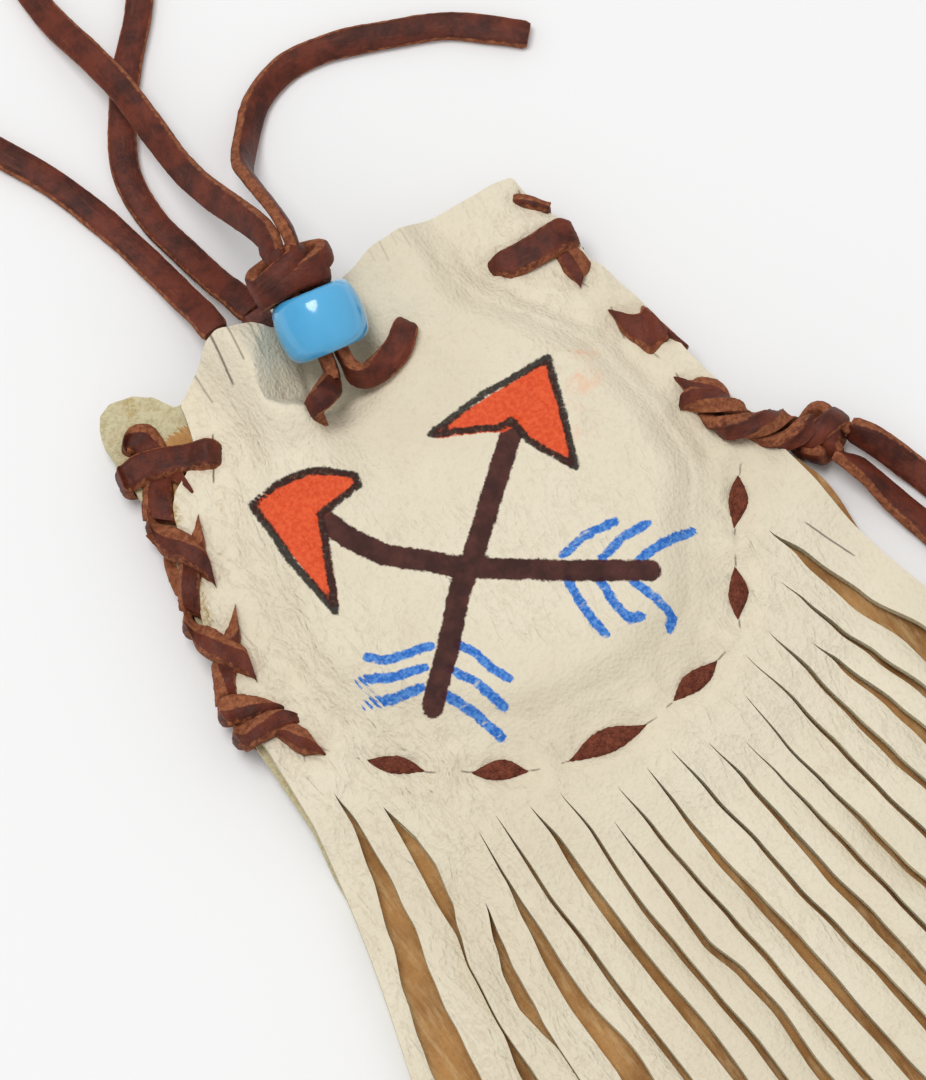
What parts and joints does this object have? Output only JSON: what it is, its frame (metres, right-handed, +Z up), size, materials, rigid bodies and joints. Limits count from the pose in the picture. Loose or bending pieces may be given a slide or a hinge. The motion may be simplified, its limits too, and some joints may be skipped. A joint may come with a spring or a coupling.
{
  "type": "beaded medicine bag",
  "caption": "Small fringed leather pouch, laced along its seams and drawn shut with a beaded drawstring; hangs from a neck cord.",
  "frame": {"origin": "middle of the bag's bounding box, on the surface it lies on", "axes": "+X to the bag's right as its front is seen, +Y from the fringe to the mouth, +Z up, out of the front panel"},
  "size_m": [0.0987, 0.2128, 0.0182],
  "materials": {
    "cream_buckskin": "matt, slightly fuzzy",
    "red_brown_lace": "semi-matt with suede edges",
    "sky_blue_bead": "glossy"
  },
  "bodies": {
    "pouch": {"back_panel": "cream_buckskin", "front_panel": "cream_buckskin", "seam_lace_left": "red_brown_lace", "seam_lace_right": "red_brown_lace", "side_knot": "red_brown_lace", "drawstring": "red_brown_lace", "closing_knot": "red_brown_lace", "neck_loop": "red_brown_lace", "neck_coil": "red_brown_lace", "drawstring_tail_right": "red_brown_lace", "drawstring_tail_left": "red_brown_lace", "side_tail_upper": "red_brown_lace", "side_tail_lower": "red_brown_lace", "neck_cord_left": "red_brown_lace", "neck_cord_right": "red_brown_lace"},
    "bead": {"bead": "sky_blue_bead"}
  },
  "joints": [
    {"name": "bead_slide", "type": "slide", "parent": "pouch", "child": "bead", "axis": [-0.161, -0.9131, -0.3746], "range_m": [0, 0.002]}
  ]
}
